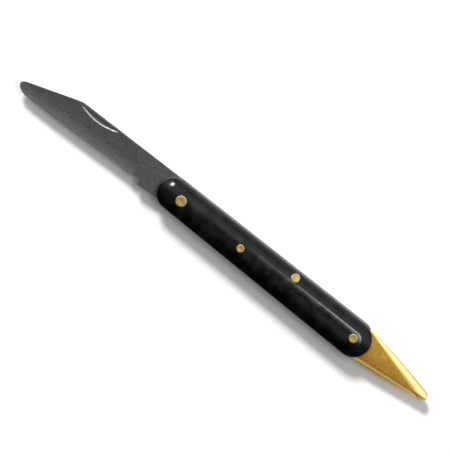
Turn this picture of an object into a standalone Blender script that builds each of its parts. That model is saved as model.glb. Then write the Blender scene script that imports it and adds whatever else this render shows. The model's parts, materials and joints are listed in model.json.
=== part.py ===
"""Folding grafting knife: a slip-joint blade, its back spring and a fixed brass bark lifter.

Metres, +Z up. The knife lies open on its lower scale: +X runs from the blade tip to the lifter tip
and +Y towards the back. The origin is on the ground under the middle of the open knife.
The pieces are drawn round the middle of the pivot pin, which the empty knife_pivot puts in place.
"""

import math

import bmesh
import bpy
from mathutils import Matrix, Vector
from mathutils.geometry import interpolate_bezier

MM = 0.001

# Blade, open: reaches run forward from the pivot, heights up and depths down from its centre line
BLADE_REACH = 69.8 * MM
BLADE_THICK = 2.4 * MM
SPINE_INSET = 0.05 * MM
KINK_REACH = 48.5 * MM
KINK_FALL = 0.66 * MM
KINK_SOFT = 2.6 * MM
TIP_DEPTH = 2.9 * MM
TIP_TOP_BACK = 2.6 * MM
TIP_TOP_DEPTH = 0.95 * MM
TIP_EDGE_BACK = 4.6 * MM
EDGE_DEPTH = 5.45 * MM
EDGE_HALF = 0.12 * MM
HEEL_DEPTH = 4.04 * MM
NOTCH_RADIUS = 1.5 * MM
NOTCH_RISE = 0.75 * MM
PLUNGE_REACH = 20.7 * MM
PLUNGE_RADIUS = 2.5 * MM
NICK_REACH = 40.4 * MM
NICK_LENGTH = 16.6 * MM
NICK_WIDTH = 1.75 * MM
NICK_BELOW_SPINE = 0.85 * MM
NICK_RIM = 0.4 * MM
NICK_DEPTH = 0.25 * MM

# Slip joint: two flats on the tang, a cam between them, and the spring's face above
FOLD_ANGLE = math.radians(175.0)
TANG_FLAT = 4.0 * MM
CAM_RISE = 0.2 * MM
CAM_PLAY = 0.07 * MM
KICK_REACH = 16.2 * MM
SHOULDER_REACH = 3.3 * MM
NOSE_GAP = 0.3 * MM
EDGE_CLEAR = 0.7 * MM
BOSS_HALF = 4.6 * MM
BOSS_LEAD = 13.3 * MM
BOSS_WALL = 0.8 * MM
BOSS_SLOPE = 10.0 * MM

# Handle
HANDLE_FRONT = 9.65 * MM
FRONT_RISE = 0.2 * MM
FRONT_HALF_WIDTH = 5.9 * MM
TAIL_HALF_WIDTH = 6.6 * MM
LINER_THICK = 0.9 * MM
SCALE_THICK = 3.45 * MM
SCALE_WALL = 0.25 * MM
ROUND_RUN = 4.2 * MM

# Bark lifter
TIP_PLAY = 1.0 * MM
TANG_LENGTH = 8.8 * MM
TANG_TOP = 2.3 * MM
SCALE_OVERHANG = 4.1 * MM
LIFTER_SHOWN = 26.5 * MM
LIFTER_DROP = 1.0 * MM
LIFTER_ROUND = 1.3 * MM
LIFTER_NOSE = 1.9 * MM
LIFTER_BULGE = 0.8 * MM
LIFTER_CROWN = math.radians(2.4)
LIFTER_TIP_HALF = 0.75 * MM

# Pins
PIVOT_DIAMETER = 3.95 * MM
RIVET_DIAMETER = 2.8 * MM
SPRING_PIN_DIAMETER = 3.1 * MM
TAIL_PIN_DIAMETER = 3.2 * MM
RIVET_AT = 26.4 * MM
SPRING_PIN_AT = 47.9 * MM
TAIL_PIN_IN = 5.9 * MM

# Clearances
BLADE_PLAY = 0.1 * MM
SEAM = 0.05 * MM
PIN_PLAY = 0.05 * MM

# How finely round stretches are drawn
WELD = 0.001 * MM
ARC_STEP = math.radians(6.0)
CURVE_STEPS = 10
ROUND_STEPS = 6
PIN_SIDES = 40
NICK_SIDES = 144
SHARP_ANGLE = math.radians(20.0)

# Length of a curve's handles, as a share of the corner that it rounds like a quarter circle
ROUND_PULL = 0.55

# Layers of the handle, upwards from its middle
SPACER_HALF = BLADE_THICK / 2 + BLADE_PLAY
LINER_TOP = SPACER_HALF + LINER_THICK
SCALE_BASE = LINER_TOP + SEAM
HANDLE_HALF = SCALE_BASE + SCALE_THICK

# Places along the knife
LIFTER_TANG_AT = BLADE_REACH + TIP_PLAY
LIFTER_SHOULDER = LIFTER_TANG_AT + TANG_LENGTH
HANDLE_TAIL = LIFTER_SHOULDER + SCALE_OVERHANG
LIFTER_REACH = HANDLE_TAIL + LIFTER_SHOWN
FRONT_CENTRE = FRONT_HALF_WIDTH - HANDLE_FRONT
TAIL_CENTRE = HANDLE_TAIL - TAIL_HALF_WIDTH
TAIL_PIN_AT = LIFTER_TANG_AT + TAIL_PIN_IN

# Heights across the knife
SPINE_HEIGHT = FRONT_RISE + FRONT_HALF_WIDTH - SPINE_INSET
TANG_CAM = TANG_FLAT + CAM_RISE
SPRING_FACE = TANG_CAM + CAM_PLAY
SPRING_TAIL = TANG_TOP + SEAM

# Larger than the knife, for the blocks that cut it and the pins before they are trimmed
BEYOND = 2 * LIFTER_REACH
PIN_STOCK = 2 * HANDLE_HALF


def handle_sides(x):
    """The handle's back and belly at x: a tapered bar with round ends."""
    if x < FRONT_CENTRE:
        half = math.sqrt(max(FRONT_HALF_WIDTH**2 - (x - FRONT_CENTRE) ** 2, 0.0))
        return FRONT_RISE + half, FRONT_RISE - half
    if x > TAIL_CENTRE:
        half = math.sqrt(max(TAIL_HALF_WIDTH**2 - (x - TAIL_CENTRE) ** 2, 0.0))
        return half, -half
    left = (TAIL_CENTRE - x) / (TAIL_CENTRE - FRONT_CENTRE)
    half = TAIL_HALF_WIDTH + left * (FRONT_HALF_WIDTH - TAIL_HALF_WIDTH)
    return left * FRONT_RISE + half, left * FRONT_RISE - half


def arc(centre, radius, start, end):
    """Points on an arc from one angle to another, both included."""
    steps = max(2, math.ceil(abs(end - start) / ARC_STEP))
    angles = [start + (end - start) * step / steps for step in range(steps + 1)]
    return [
        Vector((centre[0] + radius * math.cos(a), centre[1] + radius * math.sin(a)))
        for a in angles
    ]


def bend(start, start_handle, end_handle, end):
    """Points on a cubic curve between two places, both included."""
    corners = [Vector(place).to_3d() for place in (start, start_handle, end_handle, end)]
    return [point.to_2d() for point in interpolate_bezier(*corners, CURVE_STEPS)]


def turned(point, angle):
    """A point turned about the pivot."""
    return Matrix.Rotation(angle, 2) @ Vector(point)


def tail_half_angle(tail_end):
    """How far round the tail arc the handle's outline still runs when it is cut off at tail_end."""
    return math.acos(min(1.0, (tail_end - TAIL_CENTRE) / TAIL_HALF_WIDTH))


def handle_outline(tail_end):
    """The handle from above, anticlockwise from the back of its tail, cut square at tail_end."""
    stop = tail_half_angle(tail_end)
    back = arc((TAIL_CENTRE, 0), TAIL_HALF_WIDTH, stop, math.pi / 2)
    front_centre = (FRONT_CENTRE, FRONT_RISE)
    front = arc(front_centre, FRONT_HALF_WIDTH, math.pi / 2, 3 * math.pi / 2)
    belly = [Vector((point.x, -point.y)) for point in reversed(back)]
    return back + front + belly


def edge_line():
    """The cutting edge from the curve of the tip back to the heel."""
    front = Vector((TIP_EDGE_BACK - BLADE_REACH, -EDGE_DEPTH))
    third = (heel_place() - front) / 3
    return bend(front, front + Vector((third.x, 0)), heel_place() - third, heel_place())


def notch_centre():
    across = kick_place().x - NOTCH_RADIUS
    return Vector((across, NOTCH_RISE - NOTCH_RADIUS - HEEL_DEPTH))


def notch_start():
    """The angle, at the notch's centre, where the edge runs into the notch."""
    return math.pi - math.asin((NOTCH_RADIUS - NOTCH_RISE) / NOTCH_RADIUS)


def heel_place():
    return arc(notch_centre(), NOTCH_RADIUS, notch_start(), 0.0)[0]


def kick_place():
    """The front end of the flat that the spring holds when the blade is shut."""
    return turned((KICK_REACH, TANG_FLAT), -FOLD_ANGLE)


def blade_outline():
    """The open blade from above: shoulder, spine, dropped point, edge, notch and tang."""
    shoulder = Vector((-SHOULDER_REACH, SPINE_HEIGHT))
    kink = Vector((-KINK_REACH, SPINE_HEIGHT - KINK_FALL))
    tip_top = Vector((TIP_TOP_BACK - BLADE_REACH, -TIP_TOP_DEPTH))
    tip = Vector((-BLADE_REACH, -TIP_DEPTH))
    drop = (tip_top - kink).normalized()
    spine = (shoulder - kink).normalized()
    edge = edge_line()
    rise = Vector((0, TIP_DEPTH - TIP_TOP_DEPTH))
    fall = Vector((0, TIP_DEPTH - EDGE_DEPTH))
    cam_run = math.sqrt(TANG_CAM**2 - TANG_FLAT**2)
    cam_low = turned((-cam_run, TANG_FLAT), -FOLD_ANGLE)
    cam_high = Vector((cam_run, TANG_FLAT))
    points = [shoulder]
    points += bend(kink + spine * KINK_SOFT, kink, kink, kink + drop * KINK_SOFT)
    tip_top_pull = drop * TIP_TOP_BACK * ROUND_PULL
    edge_pull = Vector((TIP_EDGE_BACK * ROUND_PULL, 0))
    points += bend(tip_top, tip_top + tip_top_pull, tip + rise * ROUND_PULL, tip)[:-1]
    points += bend(tip, tip + fall * ROUND_PULL, edge[0] - edge_pull, edge[0])[:-1]
    points += edge[:-1]
    points += arc(notch_centre(), NOTCH_RADIUS, notch_start(), 0.0)
    points.append(kick_place())
    points += arc(
        (0, 0),
        TANG_CAM,
        math.atan2(cam_low.y, cam_low.x),
        math.atan2(cam_high.y, cam_high.x),
    )
    points.append(Vector((-SHOULDER_REACH, TANG_FLAT)))
    return points


def shut_edge_height(x):
    """How high the cutting edge lies over x inside the handle when the blade is shut."""
    shut = [turned(point, FOLD_ANGLE) for point in edge_line()]
    for far, near in zip(shut, shut[1:]):
        if near.x <= x <= far.x:
            return near.y + (far.y - near.y) * (x - near.x) / (far.x - near.x)
    return max(point.y for point in shut)


SPRING_BELLY = shut_edge_height(SPRING_PIN_AT) + EDGE_CLEAR
SPRING_PIN_HEIGHT = SPRING_BELLY + BOSS_WALL + SPRING_PIN_DIAMETER / 2


def spring_outline():
    """The back spring: thin arm over the tang, boss round its pin, tail along the lifter's tang."""
    nose = NOSE_GAP - SHOULDER_REACH
    tail = LIFTER_SHOULDER - SEAM
    boss_front = SPRING_PIN_AT - BOSS_HALF
    boss_back = SPRING_PIN_AT + BOSS_HALF
    arm_end = boss_front - BOSS_LEAD
    tail_start = boss_back + BOSS_SLOPE
    sway = BOSS_LEAD / 2
    points = [Vector((nose, handle_sides(nose)[0])), Vector((nose, SPRING_FACE))]
    points += bend(
        (arm_end, SPRING_FACE),
        (arm_end + sway, SPRING_FACE),
        (boss_front - sway, SPRING_BELLY),
        (boss_front, SPRING_BELLY),
    )
    points += bend(
        (boss_back, SPRING_BELLY),
        (boss_back + BOSS_SLOPE / 2, SPRING_BELLY),
        (tail_start - BOSS_SLOPE / 2, SPRING_TAIL),
        (tail_start, SPRING_TAIL),
    )
    points.append(Vector((tail, SPRING_TAIL)))
    points += arc((TAIL_CENTRE, 0), TAIL_HALF_WIDTH, tail_half_angle(tail), math.pi / 2)
    return points


def dropped(point):
    """A place on the lifter's head once its centre line leans towards the belly."""
    along = (point.x - LIFTER_SHOULDER) / (LIFTER_REACH - LIFTER_SHOULDER)
    return Vector((point.x, point.y - along * LIFTER_DROP))


def lifter_outline():
    """The lifter's head from above, drawn longer at its root than it is cut."""
    root = Vector((LIFTER_SHOULDER - LIFTER_ROUND, handle_sides(LIFTER_SHOULDER)[0]))
    nose_at = LIFTER_REACH - LIFTER_NOSE
    lean = math.atan2(root.y - LIFTER_NOSE, nose_at - root.x) + LIFTER_CROWN
    nose = arc((nose_at, 0), LIFTER_NOSE, math.pi / 2 - lean, lean - math.pi / 2)
    third = (nose[0] - root) / 3
    root_handle = root + third + Vector((0, LIFTER_BULGE))
    nose_handle = nose[0] - third.length * Vector((math.cos(lean), -math.sin(lean)))
    back = bend(root, root_handle, nose_handle, nose[0])
    belly = [Vector((point.x, -point.y)) for point in reversed(back)]
    return [dropped(point) for point in back + nose[1:-1] + belly]


def lifter_tang_outline():
    """The lifter's tang between the liners, level with the handle's belly, its back in the head."""
    front = LIFTER_TANG_AT
    relief = LIFTER_SHOULDER - LIFTER_ROUND
    back = LIFTER_SHOULDER + LIFTER_ROUND
    radius = TAIL_HALF_WIDTH - SEAM
    belly = arc((TAIL_CENTRE, 0), radius, -math.pi / 2, -tail_half_angle(relief))
    points = [Vector((back, TANG_TOP)), Vector((front, TANG_TOP))]
    points.append(Vector((front, handle_sides(front)[1] + SEAM)))
    return points + belly + [Vector((back, belly[-1].y + 2 * LIFTER_ROUND))]


def named_collection(name):
    group = bpy.data.collections.new(name)
    bpy.context.scene.collection.children.link(group)
    return group


def finish(name, colour, roughness, metallic):
    """A plain material with the colour, roughness and metal of one stock."""
    material = bpy.data.materials.new(name)
    material.use_nodes = True
    shader = material.node_tree.nodes["Principled BSDF"]
    shader.inputs["Base Color"].default_value = (*colour, 1.0)
    shader.inputs["Roughness"].default_value = roughness
    shader.inputs["Metallic"].default_value = metallic
    return material


def drawn(points, half_height, edge_run=0.0):
    """A closed outline filled and extruded both ways, its edges rounded by edge_run, as a bmesh."""
    curve = bpy.data.curves.new("outline", "CURVE")
    curve.dimensions = "2D"
    curve.fill_mode = "BOTH"
    curve.extrude = half_height
    curve.bevel_depth = edge_run
    curve.bevel_resolution = ROUND_STEPS
    curve.offset = -edge_run
    spline = curve.splines.new("POLY")
    spline.points.add(len(points) - 1)
    for place, (x, y) in zip(spline.points, points):
        place.co = (x, y, 0.0, 1.0)
    spline.use_cyclic_u = True
    holder = bpy.data.objects.new("outline", curve)
    bpy.context.scene.collection.objects.link(holder)
    graph = bpy.context.evaluated_depsgraph_get()
    mesh = bpy.data.meshes.new_from_object(holder.evaluated_get(graph))
    shape = bmesh.new()
    shape.from_mesh(mesh)
    bpy.data.objects.remove(holder)
    bpy.data.curves.remove(curve)
    bpy.data.meshes.remove(mesh)
    bmesh.ops.remove_doubles(shape, verts=shape.verts, dist=WELD)
    bmesh.ops.recalc_face_normals(shape, faces=shape.faces)
    return shape


def cut_away(shape, place, direction):
    """Removes the side of the shape that lies along direction from place, and closes the cut."""
    whole = shape.verts[:] + shape.edges[:] + shape.faces[:]
    cut = bmesh.ops.bisect_plane(
        shape, geom=whole, dist=WELD, plane_co=place, plane_no=direction, clear_outer=True
    )
    rim = [part for part in cut["geom_cut"] if isinstance(part, bmesh.types.BMEdge)]
    bmesh.ops.edgeloop_fill(shape, edges=rim)
    bmesh.ops.recalc_face_normals(shape, faces=shape.faces)


def add_cylinder(shape, place, radius, low, high):
    """Adds an upright cylinder between two heights to the shape."""
    middle = Matrix.Translation((place[0], place[1], (low + high) / 2))
    bmesh.ops.create_cone(
        shape,
        cap_ends=True,
        segments=PIN_SIDES,
        radius1=radius,
        radius2=radius,
        depth=high - low,
        matrix=middle,
    )


def set_down(name, shape, group, material=None):
    """Makes an object from the shape, with its origin on the pivot; without a material, a cutter."""
    mesh = bpy.data.meshes.new(name)
    shape.to_mesh(mesh)
    shape.free()
    piece = bpy.data.objects.new(name, mesh)
    piece.parent = pivot
    group.objects.link(piece)
    if material:
        mesh.materials.append(material)
    else:
        piece.hide_render = True
        piece.display_type = "WIRE"
    return piece


def combine(piece, other, operation):
    """Cuts, joins or trims a piece by another with a Boolean modifier."""
    step = piece.modifiers.new(operation.lower() + "_" + other.name, "BOOLEAN")
    step.operation = operation
    step.solver = "EXACT"
    step.object = other


def settle(piece):
    """Makes a piece's Booleans part of its mesh, and shades its round faces smooth."""
    graph = bpy.context.evaluated_depsgraph_get()
    mesh = bpy.data.meshes.new_from_object(piece.evaluated_get(graph))
    mesh.shade_smooth()
    mesh.set_sharp_from_angle(angle=SHARP_ANGLE)
    piece.modifiers.clear()
    piece.data = mesh


def handle_form():
    """The whole rounded handle as one body, which the scales and pin ends share."""
    rise = (SCALE_THICK - SCALE_WALL) / ROUND_RUN
    shape = drawn(handle_outline(HANDLE_TAIL), (SCALE_BASE + SCALE_WALL) / rise, ROUND_RUN)
    bmesh.ops.scale(shape, vec=(1.0, 1.0, rise), verts=shape.verts)
    return shape


def grind_place():
    """Where the upper grind lies: along the edge at half its thickness, up to the whole spine."""
    edge = edge_line()
    front = edge[0].to_3d() + Vector((0, 0, EDGE_HALF))
    heel = edge[-1].to_3d() + Vector((0, 0, EDGE_HALF))
    spine = Vector((-SHOULDER_REACH, SPINE_HEIGHT, BLADE_THICK / 2))
    along = (heel - front).normalized()
    up = along.cross(spine - heel).normalized()
    place = Matrix((along, up.cross(along), up)).transposed().to_4x4()
    place.translation = heel
    return place


def grind_cutter():
    """The block that grinds the upper face, its back lower edge rounded as by a wheel."""
    shape = bmesh.new()
    bmesh.ops.create_cube(shape, size=BEYOND)
    bmesh.ops.translate(shape, verts=shape.verts, vec=(-BEYOND / 2, 0, BEYOND / 2))
    low_back = [
        edge
        for edge in shape.edges
        if all(abs(vert.co.x) + abs(vert.co.z) < WELD for vert in edge.verts)
    ]
    bmesh.ops.bevel(
        shape,
        geom=low_back,
        offset=PLUNGE_RADIUS,
        offset_type="OFFSET",
        segments=2 * ROUND_STEPS,
        profile=0.5,
        affect="EDGES",
    )
    reach = PLUNGE_REACH - PLUNGE_RADIUS + heel_place().x
    bmesh.ops.translate(shape, verts=shape.verts, vec=(-reach, 0, 0))
    bmesh.ops.transform(shape, matrix=grind_place(), verts=shape.verts)
    return shape


def nick_cutter():
    """The nail nick: a dish sunk in the ground face, with a sloped rim, cut straight by the spine."""
    radius = ((NICK_LENGTH / 2) ** 2 + NICK_WIDTH**2) / (2 * NICK_WIDTH)
    shape = bmesh.new()
    bmesh.ops.create_cone(
        shape,
        cap_ends=True,
        segments=NICK_SIDES,
        radius1=radius - NICK_RIM,
        radius2=radius + NICK_RIM,
        depth=2 * NICK_DEPTH,
    )
    cut_away(shape, (0, NICK_WIDTH - radius, 0), (0, 1, 0))
    along = (NICK_REACH - SHOULDER_REACH) / (KINK_REACH - SHOULDER_REACH)
    spine = SPINE_HEIGHT - KINK_FALL * along
    face = grind_place()
    flat = face.inverted() @ Vector((-NICK_REACH, spine - NICK_BELOW_SPINE, BLADE_THICK / 2))
    flat.z = 0.0
    flat.y += radius - NICK_WIDTH
    bmesh.ops.transform(shape, matrix=face @ Matrix.Translation(flat), verts=shape.verts)
    return shape


def mirrored(shape):
    """The same shape on the other side of the knife's middle plane."""
    bmesh.ops.scale(shape, vec=(1.0, 1.0, -1.0), verts=shape.verts)
    bmesh.ops.recalc_face_normals(shape, faces=shape.faces)
    return shape


def liner(side):
    """A liner: the handle's outline cut square where the lifter's shoulder starts."""
    shape = drawn(handle_outline(LIFTER_SHOULDER - SEAM), LINER_THICK / 2)
    middle = side * (SPACER_HALF + LINER_THICK / 2)
    bmesh.ops.translate(shape, verts=shape.verts, vec=(0, 0, middle))
    return shape


def scale(side):
    """A handle scale: the handle form above or below the liners."""
    shape = handle_form()
    cut_away(shape, (0, 0, side * SCALE_BASE), (0, 0, -side))
    return shape


def lifter_head():
    """The lifter outside the liners: round edges, thinning evenly from the scales to its tip."""
    shape = drawn(lifter_outline(), LINER_TOP - LIFTER_ROUND, LIFTER_ROUND)
    cut_away(shape, (LIFTER_SHOULDER, 0, 0), (-1, 0, 0))
    whole = shape.verts[:] + shape.edges[:] + shape.faces[:]
    bmesh.ops.bisect_plane(
        shape, geom=whole, dist=WELD, plane_co=(HANDLE_TAIL, 0, 0), plane_no=(1, 0, 0)
    )
    thin = 1.0 - LIFTER_TIP_HALF / LINER_TOP
    for vert in shape.verts:
        beyond = max(0.0, vert.co.x - HANDLE_TAIL)
        vert.co.z *= 1.0 - thin * beyond / LIFTER_SHOWN
    return shape


def pin(place, diameter, low=-PIN_STOCK, high=PIN_STOCK):
    """A pin between two heights, left longer than the handle at its open ends."""
    shape = bmesh.new()
    add_cylinder(shape, place, diameter / 2, low, high)
    return shape


for old in list(bpy.data.objects):
    bpy.data.objects.remove(old)

knife = named_collection("folding_grafting_knife")
cutters = named_collection("knife_cutters")

pivot = bpy.data.objects.new("knife_pivot", None)
pivot.location = ((BLADE_REACH - LIFTER_REACH) / 2, 0.0, HANDLE_HALF)
pivot.empty_display_size = FRONT_HALF_WIDTH
knife.objects.link(pivot)

blade_steel = finish("blade_steel", (0.13, 0.13, 0.13), 0.42, 1.0)
spring_steel = finish("spring_steel", (0.35, 0.35, 0.34), 0.35, 1.0)
black_scale = finish("black_scale", (0.012, 0.012, 0.013), 0.3, 0.0)
brass = finish("brass", (0.62, 0.42, 0.16), 0.35, 1.0)

PINS = {
    "pivot_pin": ((0.0, 0.0), PIVOT_DIAMETER),
    "scale_rivet": ((RIVET_AT, 0.0), RIVET_DIAMETER),
    "spring_pin": ((SPRING_PIN_AT, SPRING_PIN_HEIGHT), SPRING_PIN_DIAMETER),
    "tail_pin": ((TAIL_PIN_AT, 0.0), TAIL_PIN_DIAMETER),
}

form = set_down("handle_form", handle_form(), cutters)
holes = bmesh.new()
for place, diameter in PINS.values():
    add_cylinder(holes, place, diameter / 2 + PIN_PLAY, -PIN_STOCK, PIN_STOCK)
pin_holes = set_down("pin_holes", holes, cutters)

blade = set_down("blade", drawn(blade_outline(), BLADE_THICK / 2), knife, blade_steel)
combine(blade, set_down("upper_grind", grind_cutter(), cutters), "DIFFERENCE")
combine(blade, set_down("lower_grind", mirrored(grind_cutter()), cutters), "DIFFERENCE")
combine(blade, set_down("nail_nick", nick_cutter(), cutters), "DIFFERENCE")

spring_shape = drawn(spring_outline(), SPACER_HALF - SEAM)
back_spring = set_down("back_spring", spring_shape, knife, spring_steel)

bark_lifter = set_down("bark_lifter", lifter_head(), knife, brass)
lifter_tang = drawn(lifter_tang_outline(), SPACER_HALF - SEAM)
combine(bark_lifter, set_down("lifter_tang", lifter_tang, cutters), "UNION")

drilled = [blade, back_spring, bark_lifter]
for side, word in ((1, "upper"), (-1, "lower")):
    drilled.append(set_down(word + "_liner", liner(side), knife, spring_steel))
    drilled.append(set_down(word + "_scale", scale(side), knife, black_scale))
    ends = sorted((side * SPACER_HALF, side * PIN_STOCK))
    rivet = set_down(word + "_scale_rivet", pin(*PINS["scale_rivet"], *ends), knife, brass)
    combine(rivet, form, "INTERSECT")
for piece in drilled:
    combine(piece, pin_holes, "DIFFERENCE")
for name in ("pivot_pin", "spring_pin", "tail_pin"):
    combine(set_down(name, pin(*PINS[name]), knife, brass), form, "INTERSECT")
for piece in knife.objects:
    if piece.type == "MESH":
        settle(piece)
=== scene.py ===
"""Folding grafting knife, dressed for a picture: it lies open on a white table, seen from above.

Metres, +Z up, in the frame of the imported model: +X runs to the bark lifter's tip and +Y to the back.
"""

import json
import math

import bpy
from mathutils import Matrix, Vector


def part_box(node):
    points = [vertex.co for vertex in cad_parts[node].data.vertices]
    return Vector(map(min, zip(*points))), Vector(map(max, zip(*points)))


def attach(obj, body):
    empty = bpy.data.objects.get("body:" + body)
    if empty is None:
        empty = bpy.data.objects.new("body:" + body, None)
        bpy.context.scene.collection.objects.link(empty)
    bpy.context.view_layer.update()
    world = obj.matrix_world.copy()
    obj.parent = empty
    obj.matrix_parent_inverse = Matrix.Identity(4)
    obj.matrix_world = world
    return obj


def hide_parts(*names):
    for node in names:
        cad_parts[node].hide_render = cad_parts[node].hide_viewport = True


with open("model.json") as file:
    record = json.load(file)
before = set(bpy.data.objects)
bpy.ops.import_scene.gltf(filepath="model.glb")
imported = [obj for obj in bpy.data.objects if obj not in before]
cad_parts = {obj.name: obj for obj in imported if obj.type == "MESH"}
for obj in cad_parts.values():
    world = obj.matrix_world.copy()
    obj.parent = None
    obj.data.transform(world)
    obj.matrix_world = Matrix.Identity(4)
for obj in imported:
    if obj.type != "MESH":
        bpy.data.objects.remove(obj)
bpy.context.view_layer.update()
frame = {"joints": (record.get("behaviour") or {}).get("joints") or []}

# Table, light and camera
# A white table with a large soft lamp behind the knife and a strip lamp over its tail, in a room that
# is dark on the belly side. The camera looks down, and the knife lies on the picture's diagonal.
MM = 0.001
VIEW_TILT = math.radians(4.3)
VIEW_ROLL = math.radians(38.53)
VIEW_WIDTH = 157.4 * MM
VIEW_TARGET = Vector((-2.58, 3.05, 11.24)) * MM
LENS = 250.0
SENSOR = 36.0
TABLE_SIZE = 20.0
TABLE_WHITE = (0.88, 0.88, 0.88, 1.0)
TABLE_ROUGHNESS = 0.9
TABLE_LIFT = 0.08
KEY_HEIGHT = math.radians(46.0)
KEY_TURN = math.radians(5.0)
KEY_SPREAD = math.radians(13.0)
KEY_STRENGTH = 3.0
KEY_GLINT = 0.5
STRIP_PLACE = Vector((122.0, 92.0, 500.0)) * MM
STRIP_SIZE = (195.0 * MM, 76.0 * MM)
STRIP_POWER = 0.5
# The room's tones by direction: 0 is level on the belly side, 0.5 is overhead and 1 is level at the back
ROOM_TONES = {
    0.0: 0.0,
    0.2: 0.0,
    0.32: 0.05,
    0.46: 0.08,
    0.56: 0.42,
    0.61: 0.6,
    0.8: 0.58,
    0.9: 0.28,
    1.0: 0.12,
}

along = Vector((1, 0, 0))
to_camera = Vector((0, math.sin(VIEW_TILT), math.cos(VIEW_TILT)))
across = to_camera.cross(along)
picture_right = along * math.cos(VIEW_ROLL) + across * math.sin(VIEW_ROLL)
picture_up = across * math.cos(VIEW_ROLL) - along * math.sin(VIEW_ROLL)
behind = Vector((picture_up.x, picture_up.y, 0)).normalized()

bpy.ops.object.select_all(action="DESELECT")
bpy.ops.object.camera_add()
camera = bpy.context.object
camera.name = "picture_camera"
camera.data.lens = LENS
camera.data.sensor_width = SENSOR
camera.data.clip_end = TABLE_SIZE
camera_place = Matrix((picture_right, picture_up, to_camera)).transposed().to_4x4()
camera_place.translation = VIEW_TARGET + to_camera * VIEW_WIDTH * LENS / SENSOR
camera.matrix_world = camera_place
bpy.context.scene.camera = camera
bpy.context.scene.view_settings.view_transform = "Standard"


def toward(side, height):
    """The direction that lies at a height, as an angle, above a side of the table."""
    return side * math.cos(height) + Vector((0, 0, math.sin(height)))


def hang_lamp(name, direction, strength, spread):
    """A distant soft lamp in a direction, as wide as an angle."""
    bpy.ops.object.light_add(type="SUN")
    lamp = bpy.context.object
    lamp.name = name
    lamp.rotation_euler = direction.to_track_quat("Z", "Y").to_euler()
    lamp.data.energy = strength
    lamp.data.angle = spread
    return lamp


# The key light is two lamps in one direction, of which only the first is mirrored by shiny pieces
key_side = Matrix.Rotation(KEY_TURN, 3, "Z") @ behind
key_way = toward(key_side, KEY_HEIGHT)
hang_lamp("key_lamp", key_way, KEY_STRENGTH * KEY_GLINT, KEY_SPREAD)
matt_lamp = hang_lamp("matt_lamp", key_way, KEY_STRENGTH * (1 - KEY_GLINT), KEY_SPREAD)
matt_lamp.visible_glossy = False

bpy.ops.object.light_add(type="AREA", location=STRIP_PLACE)
strip = bpy.context.object
strip.name = "strip_lamp"
strip.rotation_euler = STRIP_PLACE.to_track_quat("Z", "Y").to_euler()
strip.data.shape = "RECTANGLE"
strip.data.size, strip.data.size_y = STRIP_SIZE
strip.data.energy = STRIP_POWER


def new_node(tree, kind, inputs=None, **settings):
    """A node with its properties set, and its unlinked sockets by index or name in inputs."""
    node = tree.nodes.new(kind)
    for name, value in settings.items():
        setattr(node, name, value)
    for socket, value in (inputs or {}).items():
        node.inputs[socket].default_value = value
    return node


room = bpy.data.worlds.new("studio_room")
bpy.context.scene.world = room
room.use_nodes = True
tree = room.node_tree
direction = new_node(tree, "ShaderNodeTexCoord")
facing_back = new_node(
    tree, "ShaderNodeVectorMath", operation="DOT_PRODUCT", inputs={1: (0.0, 1.0, 0.0)}
)
halfway = new_node(tree, "ShaderNodeMath", operation="MULTIPLY_ADD", inputs={1: 0.5, 2: 0.5})
tones = new_node(tree, "ShaderNodeValToRGB")
for turn, tone in ROOM_TONES.items():
    tones.color_ramp.elements.new(turn).color = (tone, tone, tone, 1.0)
tones.color_ramp.elements.remove(tones.color_ramp.elements[0])
tones.color_ramp.elements.remove(tones.color_ramp.elements[-1])
tree.links.new(direction.outputs["Generated"], facing_back.inputs[0])
tree.links.new(facing_back.outputs["Value"], halfway.inputs[0])
tree.links.new(halfway.outputs[0], tones.inputs["Fac"])
tree.links.new(tones.outputs["Color"], tree.nodes["Background"].inputs["Color"])

bpy.ops.mesh.primitive_plane_add(size=TABLE_SIZE)
table = bpy.context.object
table.name = "table"
table_paint = bpy.data.materials.new("white_table")
table_paint.use_nodes = True
table.data.materials.append(table_paint)
tree = table_paint.node_tree
shader = tree.nodes["Principled BSDF"]
shader.inputs["Base Color"].default_value = TABLE_WHITE
shader.inputs["Roughness"].default_value = TABLE_ROUGHNESS
shader.inputs["Specular IOR Level"].default_value = 0.0
shader.inputs["Emission Color"].default_value = (1.0, 1.0, 1.0, 1.0)
ray = new_node(tree, "ShaderNodeLightPath")
seen = new_node(tree, "ShaderNodeMath", operation="MAXIMUM")
through = new_node(tree, "ShaderNodeMath", operation="MAXIMUM")
lift = new_node(tree, "ShaderNodeMath", operation="MULTIPLY", inputs={1: TABLE_LIFT})
tree.links.new(ray.outputs["Is Camera Ray"], seen.inputs[0])
tree.links.new(ray.outputs["Is Glossy Ray"], seen.inputs[1])
tree.links.new(seen.outputs[0], through.inputs[0])
tree.links.new(ray.outputs["Is Transmission Ray"], through.inputs[1])
tree.links.new(through.outputs[0], lift.inputs[0])
tree.links.new(lift.outputs[0], shader.inputs["Emission Strength"])

# Liners
# Two thin plates of ground steel that line the handle and leave the slot for the blade between them.
# Each is blanked to the handle's outline, cut square before the lifter and drilled for the pins.
PIVOT = Vector(frame["joints"][0]["pos_m"])
MIDDLE = PIVOT.z
FRONT_HALF = 5.9 * MM
FRONT_RISE = 0.2 * MM
THROUGH_PINS = ("pivot_pin", "spring_pin", "tail_pin")
OUTLINE_STEPS = 20
HOLE_SIDES = 72
PIN_PLAY = 0.06 * MM
WELD = 0.0001 * MM
STEEL_BREAK = 0.28 * MM
BREAK_STEPS = 4
EDGE_ANGLE = math.radians(30.0)
STEEL_DARK = (0.15, 0.15, 0.15, 1.0)
STEEL_GREY = (0.3, 0.3, 0.295, 1.0)
STEEL_WORN_GLINT = (0.9, 0.9, 0.89, 1.0)
STEEL_LINES = (0.75, 1.25)
STEEL_ROUGHNESS = (0.55, 0.3)
STEEL_GRAIN = 0.004 * MM
handle_low, handle_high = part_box("upper_scale")
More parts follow.
